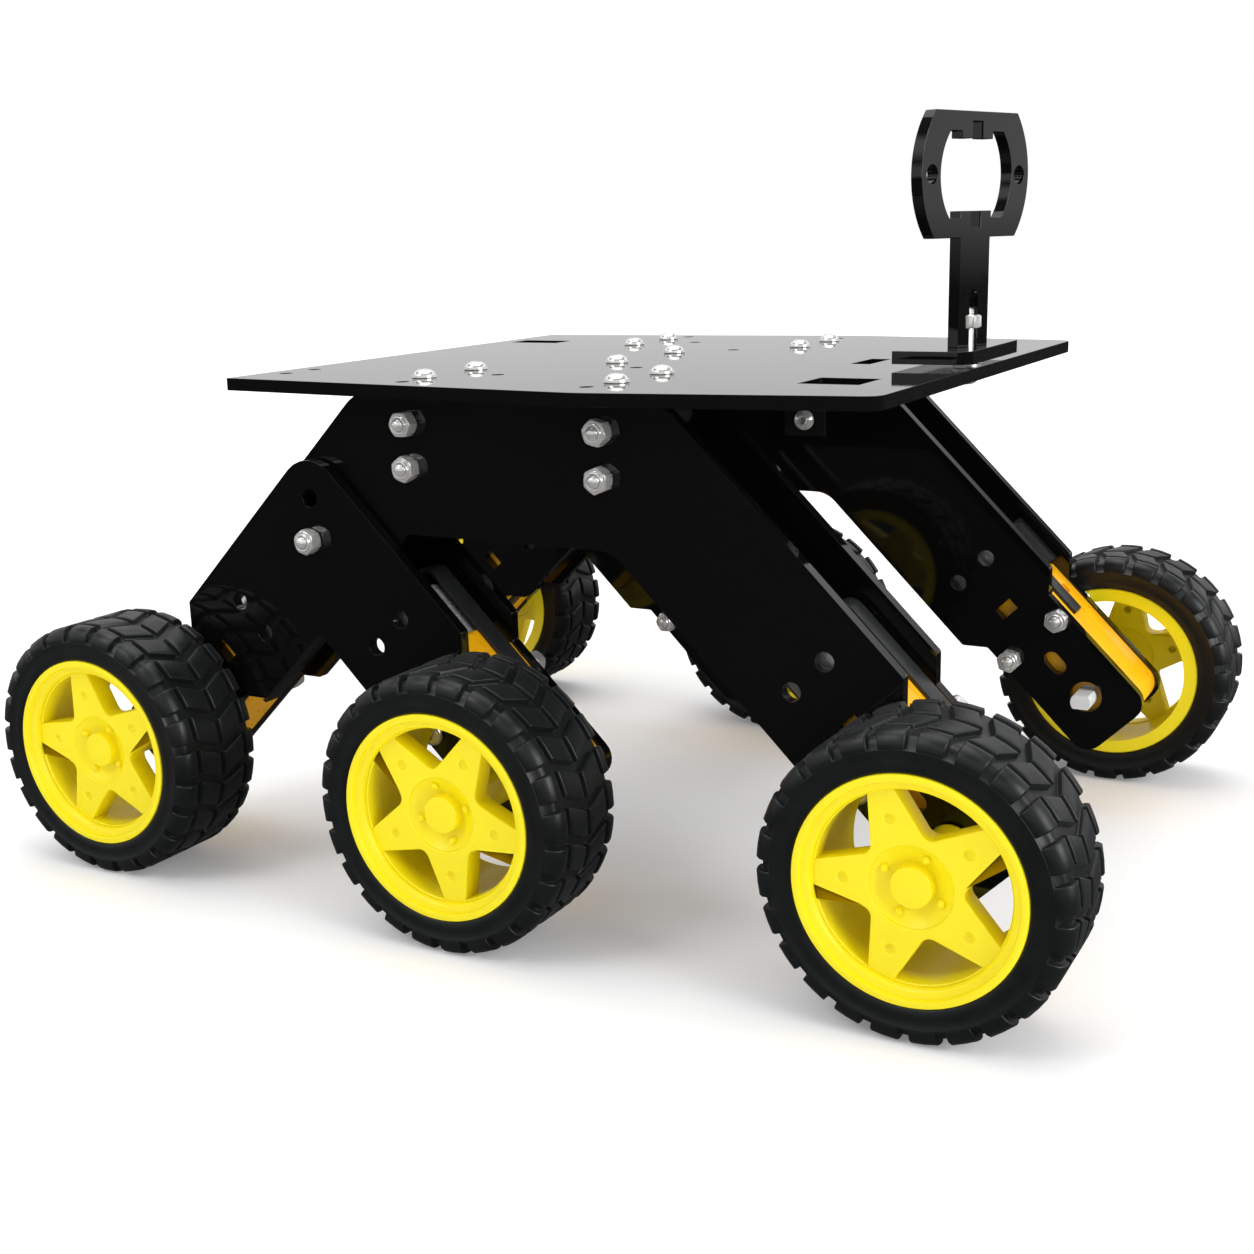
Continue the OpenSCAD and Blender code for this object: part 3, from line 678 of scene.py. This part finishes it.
def gearbox_mesh(low, high):
    """Two half shells with a seam, screw bores and strap windows, in leg axes.

    X is measured from the shaft and Y from the leg's middle line.
    """
    seam = (low.z + high.z) / 2 + 1.2
    shaft_end_r, motor_end_r = 5, 1.5
    shaft_bore_r, screw_bore_r = 2.75, 1.65
    screw_x, screw_y = 20.5, 8.75
    window_x, window_z, window_depth = (24.2, 27.0), (2.2, 4.4), 1.5
    nest = 7
    relief_top, relief_depth = -5.4, 1.2
    can_diameter, can_flats = 20, 15.1
    past = 1

    # (height, inset) of the outline's steps: eased edges, and a groove at the seam
    layers = [(low.z, 0.6), (low.z + 0.18, 0.2), (low.z + 0.6, 0), (seam - 0.22, 0),
              (seam - 0.1, 0.3), (seam + 0.1, 0.3), (seam + 0.22, 0), (high.z - 0.6, 0),
              (high.z - 0.18, 0.2), (high.z, 0.6)]
    rings = []
    for z, inset in layers:
        outline = rounded_rectangle(low, high, shaft_end_r, motor_end_r, inset)
        rings.append([(x, y, z) for x, y in outline])
    shape = Shape().add(loft(rings))

    shaft_bore = lathe([(shaft_bore_r, low.z - past), (shaft_bore_r, high.z + past)])
    screw_bore = lathe([(screw_bore_r, low.z - past), (screw_bore_r, high.z + past)], 24)
    cutters = [Shape().add(shaft_bore)]
    motor_x = high.x - nest
    half = (high.y - low.y) / 2
    for way in (-1, 1):
        bore_place = Matrix.Translation((screw_x, way * screw_y, 0))
        cutters.append(Shape().add(screw_bore, bore_place))
        window = block((window_x[0], way * half - window_depth, window_z[0]),
                       (window_x[1], way * half + window_depth, window_z[1]))
        cutters.append(Shape().add(window))
        relief = block((motor_x, way * half - relief_depth, low.z - past),
                       (high.x + past, way * half + relief_depth, relief_top))
        cutters.append(Shape().add(relief))
    can = [ring(can_radius(can_diameter, can_flats, 0), z, 64) for z in (0, nest + past)]
    pocket = axes((0, 1, 0), (1, 0, 0), (motor_x, 0, 0))
    cutters.append(Shape().add(loft(can), pocket))
    return cut(shape.mesh("gearbox"), cutters)


def can_radius(diameter, flats, inset):
    """Radius of a round can with two flats, seen along its axis.

    The power blends the circle into the flats: the higher it is, the sharper the corner.
    """
    power = 14

    def radius(angle):
        to_flat = abs(math.sin(angle))
        flat = flats / 2 / max(to_flat, 1e-6)
        return (flat ** -power + (diameter / 2) ** -power) ** (-1 / power) - inset
    return radius


def motor_mesh(low, high):
    """Drawn can with rolled edge, end cap, bearing boss and two terminals."""
    flats = high.z - low.z
    diameter = high.y - low.y
    cap_x = high.x - 4
    cap_r = flats / 2 - 1.0
    tab_at, tab_half_w, tab_half_t, tab_length = 5.6, 0.9, 0.2, 3.6
    along = axes((0, 1, 0), (1, 0, 0), (0, 0, 0))

    # (distance along the can, inset of its wall), with a rolled groove before the end
    profile = [(low.x, 0.0), (low.x + 6.9, 0.0), (cap_x - 1.6, 0.0), (cap_x - 1.35, 0.22),
               (cap_x - 1.1, 0.22), (cap_x - 0.85, 0.0), (cap_x - 0.4, 0.05),
               (cap_x - 0.12, 0.22), (cap_x, 0.6), (cap_x, 1.6), (cap_x - 0.35, 1.8)]
    shape = Shape()
    can = [ring(can_radius(diameter, flats, inset), x, 72) for x, inset in profile]
    shape.add(loft(can), along)

    # (radius, distance along) of the cap and its bearing boss
    cap = [(cap_r, cap_x - 0.6), (cap_r, cap_x + 0.5), (flats / 2 - 1.4, cap_x + 0.9),
           (4.6, cap_x + 1.0), (4.4, cap_x + 1.8), (3.1, cap_x + 2.0), (3.0, cap_x + 3.4),
           (2.7, cap_x + 3.8), (1.2, cap_x + 3.9), (1.0, cap_x + 3.2)]
    shape.add(lathe(cap, 48), along)
    for way in (-1, 1):
        tab = block((cap_x, way * tab_at - tab_half_w, -tab_half_t),
                    (cap_x + tab_length, way * tab_at + tab_half_w, tab_half_t))
        shape.add(tab)
    return shape.mesh("motor", 28)


def strap_shape(low, high, thickness):
    """U-shaped strap with rounded corners and tapered ends, in leg axes."""
    turn = 2.6
    straight = 8
    taper_length, taper_depth = 0.4, 1.5
    round_edge = 0.16
    inner_y = (high.y - low.y) / 2 - thickness
    turn_centre = (high.x - thickness - turn, inner_y - turn)

    def side(reach):
        """One leg and corner of the strap's outline, so far out from its inner face."""
        y = inner_y + reach
        line = [(low.x, y - taper_depth), (low.x + taper_length, y), (low.x + straight, y)]
        return line + arc(turn_centre, turn + reach, 90, 0, 8)

    outer_path = side(thickness)
    inner_path = side(0)
    outline = outer_path + [(x, -y) for x, y in reversed(outer_path)]
    outline += [(x, -y) for x, y in inner_path]
    outline += list(reversed(inner_path))
    centre = (low.z + high.z) / 2
    points, faces = cut_plate("strap", [outline], high.z - low.z, round_edge)
    return [(x, y, z + centre) for x, y, z in points], faces


def build_gearmotors():
    for side in SIDES:
        for wheel in WHEELS:
            place = leg_place(side, wheel)
            for kind, maker, slot in (("gearbox", gearbox_mesh, "amber_gearbox"),
                                      ("motor", motor_mesh, "motor_steel")):
                node = f"{side}_{wheel}_{kind}"
                mesh = maker(*span(node_points(node), place))
                place_piece(f"{node}_shell", mesh, node_body(node), [node],
                            MATERIALS[slot], in_metres(place))


def build_straps():
    """One piece for each CAD strap group, with a strap for each of its solids."""
    thickness = 1.0
    legs = {(side, wheel): leg_place(side, wheel) for side in SIDES for wheel in WHEELS}
    for node in ("front_motor_straps", "right_bogie_motor_straps", "left_bogie_motor_straps"):
        shape = Shape()
        for points in solids(node):
            low, high = span(points)
            middle = (low + high) / 2
            place = min(legs.values(), key=lambda leg: (leg.translation - middle).length)
            shape.add(strap_shape(*span(points, place), thickness), place)
        place_piece(f"{node}_set", shape.mesh(node, 40), node_body(node), [node],
                    MATERIALS["black_strap"])


# ---------- fasteners ----------

SCREW_R = 1.5
HEAD_R = 2.9
NUT_FLATS = 5.5
WASHER_R = 3.5


def button_screw(length):
    """Domed head with a hex socket, seated at Z = 0, and a threaded end below it."""
    pitch, depth, threaded = 0.5, 0.24, 3.2
    steps_per_pitch = 5
    thread_foot = 0.55
    shank_r = SCREW_R - 0.03
    socket_flats, socket_top, socket_foot = 2.0, 1.84, 0.75
    foot = [(0.3, 0), (0.7, 0.08), (1.0, 0.25), (SCREW_R - depth, 0.5)]
    rings = [ring(r, z - length) for r, z in foot]
    steps = int(threaded / pitch * steps_per_pitch)
    for i in range(steps + 1):
        z = -length + thread_foot + (threaded - thread_foot) * i / steps

        def thread(angle, z=z):
            phase = (z / pitch - angle / (2 * math.pi)) % 1
            return SCREW_R - depth * abs(2 * phase - 1)
        rings.append(ring(thread, z))
    rings += [ring(shank_r, -length + threaded + 0.2), ring(shank_r, 0)]
    dome = [(HEAD_R - 0.12, 0), (HEAD_R, 0.12), (HEAD_R, 0.4), (HEAD_R - 0.12, 0.78),
            (HEAD_R - 0.42, 1.22), (HEAD_R - 0.9, 1.62), (HEAD_R - 1.35, 1.84), (1.32, 1.93)]
    rings += [ring(r, z) for r, z in dome]
    socket = hexagon(socket_flats)
    rings += [ring(socket, socket_top), ring(socket, socket_foot)]
    return loft(rings)


def hex_nut(height):
    """Chamfered nut with a countersunk bore, on Z = 0. A tall one has a locking collar."""
    collar = height > 3.5
    top = height * 0.86 if collar else height
    chamfer_r = NUT_FLATS / 2 * 0.97
    bore_r = SCREW_R + 0.05
    rings = []
    for z in (0.0, 0.12, 0.3, top - 0.42, top - 0.24, top - 0.08, top):
        limit = chamfer_r + min(z, top - z) * 1.5
        rings.append(ring(hexagon(NUT_FLATS, limit), z))
    if collar:
        rings += [ring(r, z) for r, z in (
            (2.25, top + 0.01), (2.2, height - 0.22), (2.08, height - 0.06), (1.9, height),
            (bore_r + 0.12, height - 0.05), (bore_r, height - 0.3))]
    else:
        rings += [ring(bore_r + 0.4, height), ring(bore_r, height - 0.4)]
    rings += [ring(bore_r, 0.4), ring(bore_r + 0.4, 0)]
    return loft(rings, closed=True)


def washer(height):
    return lathe([(SCREW_R, 0), (WASHER_R - 0.1, 0), (WASHER_R, 0.1), (WASHER_R, height - 0.1),
                  (WASHER_R - 0.1, height), (SCREW_R, height)], closed=True)


def fastener_parts(points, axis):
    """Parts of one CAD fastener: [(kind, place, length)], each with its foot or seat at Z = 0.

    A head is less wide than a nut's corners or a washer, and stands where its seat is
    nearest to an end. A nut or a washer faces away from the head. A nut without a screw
    faces down, or outwards from the rover's side.
    """
    head_range = (2.6, 3.0)
    thinnest_nut = 1.5
    low, high = span(points)
    middle = (low + high) / 2
    across = [i for i in range(3) if i != axis]
    reach = {}
    for point in points:
        at = round(point[axis], 2)
        reach[at] = max(reach.get(at, 0), math.hypot(*(point[i] - middle[i] for i in across)))
    seats = [at for at, r in reach.items() if head_range[0] < r < head_range[1]]
    ends = sorted(at for at, r in reach.items() if r > head_range[1])

    def place(at, way):
        origin = middle.copy()
        origin[axis] = at
        out = [way if i == axis else 0 for i in range(3)]
        side = [1 if i == across[0] else 0 for i in range(3)]
        return axes(side, out, origin)

    parts = []
    if seats:
        way = 1 if high[axis] - seats[0] < seats[0] - low[axis] else -1
        shank = seats[0] - low[axis] if way > 0 else high[axis] - seats[0]
        parts.append(("screw", place(seats[0], way), shank))
    elif axis == 2:
        way = 1
    else:
        way = -1 if middle[axis] > 0 else 1
    if ends:
        height = ends[-1] - ends[0]
        foot = ends[-1] if way > 0 else ends[0]
        kind = "nut" if height > thinnest_nut else "washer"
        parts.append((kind, place(foot, -way), height))
    return parts


def build_fasteners():
    """Screws, nuts and washers remade with domes, sockets, chamfers and threads."""
    axis_of = {
        "deck_screws": 2, "deck_nuts": 2, "rocker_bolts": 1, "rocker_nuts": 1, "pivot_bolts": 1,
        "pivot_nuts": 1, "front_motor_bolts": 1, "right_bogie_motor_bolts": 1,
        "left_bogie_motor_bolts": 1, "mast_screw": 2, "mast_nut": 2,
    }
    makers = {"screw": button_screw, "nut": hex_nut, "washer": washer}
    first_turn, turn_step, mast_turn = 8, 23, 17
    for node, axis in axis_of.items():
        shape = Shape()
        for index, points in enumerate(solids(node)):
            turn = mast_turn if node == "mast_nut" else turn_step * index + first_turn
            for kind, place, length in fastener_parts(points, axis):
                if kind != "washer":
                    place = place @ Matrix.Rotation(math.radians(turn), 4, "Z")
                shape.add(makers[kind](length), place)
        place_piece(f"{node}_set", shape.mesh(node, 30), node_body(node), [node],
                    MATERIALS["nickel_steel"])


# ---------- CAD nodes that keep their own shape ----------

def finish_node(node, slot, edge):
    """The CAD node's own material, and edges eased by a small bevel."""
    piece = frame["nodes"][node]
    piece.data.materials.clear()
    piece.data.materials.append(MATERIALS[slot])
    weld = piece.modifiers.new("weld", "WELD")
    weld.merge_threshold = 0.000004
    flat = piece.modifiers.new("flat", "DECIMATE")
    flat.decimate_type = "DISSOLVE"
    flat.angle_limit = math.radians(0.5)
    bevel = piece.modifiers.new("edge", "BEVEL")
    bevel.width = edge * MM
    bevel.segments = 2
    bevel.limit_method = "ANGLE"
    bevel.angle_limit = math.radians(35)
    bevel.use_clamp_overlap = True
    shade = piece.modifiers.new("shade", "WEIGHTED_NORMAL")
    shade.keep_sharp = False
    shade.weight = 80


def finish_nodes():
    edges = {"black_acrylic": 0.14, "bracket_steel": 0.12, "white_nylon": 0.1}
    kept = {part["node"]: part["material_slot"] for part in frame["record"]["subparts"]}
    for node, piece in frame["nodes"].items():
        if not piece.hide_render:
            finish_node(node, kept[node], edges[kept[node]])


# ---------- floor, light and camera ----------

def build_floor():
    """A plain pale floor that runs to the horizon, and glows more away from the rover."""
    reach = 12.0
    mesh = bpy.data.meshes.new("floor")
    corners = [(-reach, -reach, 0), (reach, -reach, 0), (reach, reach, 0), (-reach, reach, 0)]
    mesh.from_pydata(corners, [], [(0, 1, 2, 3)])
    floor = bpy.data.objects.new("floor", mesh)
    bpy.context.scene.collection.objects.link(floor)
    m = Nodes("floor", {"Roughness": 0.9, "Specular IOR Level": 0.0,
                        "Emission Color": (1, 1, 1, 1)})
    distance = m.tree.nodes.new("ShaderNodeVectorMath")
    distance.operation = "LENGTH"
    m.link(m.place, distance.inputs[0])
    glow = m.ranged(distance.outputs["Value"], 0.16, 0.7, start=0.22, end=0.9)
    m.link(glow, m.shader.inputs["Emission Strength"])
    m.colour(m.noise(2, 2), (0.84, 0.84, 0.84), (0.86, 0.86, 0.86))
    mesh.materials.append(m.material)
    floor.visible_glossy = False


def build_world():
    """White to the camera. Reflections see pale bands above the horizon and dark below it."""
    world = bpy.data.worlds.new("studio")
    bpy.context.scene.world = world
    world.use_nodes = True
    tree = world.node_tree
    tree.nodes.remove(tree.nodes["Background"])
    direction = tree.nodes.new("ShaderNodeTexCoord").outputs["Generated"]
    parts = tree.nodes.new("ShaderNodeSeparateXYZ")
    tree.links.new(direction, parts.inputs["Vector"])
    height = tree.nodes.new("ShaderNodeMapRange")
    height.inputs["From Min"].default_value = -1
    height.inputs["From Max"].default_value = 1
    tree.links.new(parts.outputs["Z"], height.inputs["Value"])

    def backdrop(stops):
        """Light by height: (height from 0 below to 1 above, brightness) stops."""
        ramp = tree.nodes.new("ShaderNodeValToRGB")
        while len(ramp.color_ramp.elements) < len(stops):
            ramp.color_ramp.elements.new(0.5)
        strongest = max(grey for _, grey in stops)
        for element, (position, grey) in zip(ramp.color_ramp.elements, stops):
            element.position = position
            element.color = (grey / strongest,) * 3 + (1,)
        background = tree.nodes.new("ShaderNodeBackground")
        background.inputs["Strength"].default_value = strongest
        tree.links.new(height.outputs["Result"], ramp.inputs["Fac"])
        tree.links.new(ramp.outputs["Color"], background.inputs["Color"])
        return background.outputs["Background"]

    rays = tree.nodes.new("ShaderNodeLightPath")

    def except_for(ray, usual, seen):
        """The usual light, and another one for one kind of ray."""
        mix = tree.nodes.new("ShaderNodeMixShader")
        tree.links.new(rays.outputs[ray], mix.inputs["Fac"])
        tree.links.new(usual, mix.inputs[1])
        tree.links.new(seen, mix.inputs[2])
        return mix.outputs["Shader"]

    soft = backdrop([(0.0, 0.5), (0.5, 0.6), (1.0, 0.62)])
    mirrored = backdrop([(0.0, 0.02), (0.48, 0.04), (0.505, 0.76), (0.56, 0.80), (0.62, 0.12),
                         (0.70, 1.1), (0.77, 1.1), (0.82, 0.08), (0.92, 0.1), (0.96, 1.0),
                         (1.0, 1.0)])
    white = backdrop([(0.0, 1.0), (1.0, 1.0)])
    light = except_for("Is Glossy Ray", soft, mirrored)
    light = except_for("Is Camera Ray", light, white)
    tree.links.new(light, tree.nodes["World Output"].inputs["Surface"])


def add_softbox(name, place, target, size, power):
    light = bpy.data.lights.new(name, "AREA")
    light.shape = "RECTANGLE"
    light.size, light.size_y = size
    light.energy = power
    holder = bpy.data.objects.new(name, light)
    holder.location = place
    holder.rotation_euler = (Vector(target) - Vector(place)).to_track_quat("-Z", "Y").to_euler()
    bpy.context.scene.collection.objects.link(holder)


def build_lights():
    middle = (0, 0, 0.08)
    add_softbox("top_softbox", (-0.15, 0.2, 1.1), middle, (1.1, 1.1), 7)
    add_softbox("key_softbox", (-0.45, -0.8, 0.95), middle, (0.5, 0.5), 3.6)
    add_softbox("side_softbox", (1.1, -0.2, 0.5), middle, (0.7, 0.7), 9)


def build_camera():
    """Camera at the front right, a little above the deck, seen slightly tilted."""
    position = Vector((0.20132, -0.37800, 0.15836))
    yaw, pitch, roll = 0.5056, 0.2427, -0.0256
    level = math.cos(pitch)
    forward = Vector((-math.sin(yaw) * level, math.cos(yaw) * level, -math.sin(pitch)))
    right = Vector((math.cos(yaw), math.sin(yaw), 0))
    up = right.cross(forward)
    tilted = math.cos(roll) * right + math.sin(roll) * up
    top = math.cos(roll) * up - math.sin(roll) * right
    data = bpy.data.cameras.new("camera")
    data.sensor_width = 36
    data.lens = 46.38
    data.clip_start = 0.01
    camera = bpy.data.objects.new("camera", data)
    camera.matrix_world = Matrix((
        (tilted.x, top.x, -forward.x, position.x), (tilted.y, top.y, -forward.y, position.y),
        (tilted.z, top.z, -forward.z, position.z), (0, 0, 0, 1)))
    bpy.context.scene.collection.objects.link(camera)
    bpy.context.scene.camera = camera


build_wheels()
build_gearmotors()
build_straps()
build_fasteners()
finish_nodes()
build_floor()
build_world()
build_lights()
build_camera()
bpy.context.scene.view_settings.view_transform = "Standard"
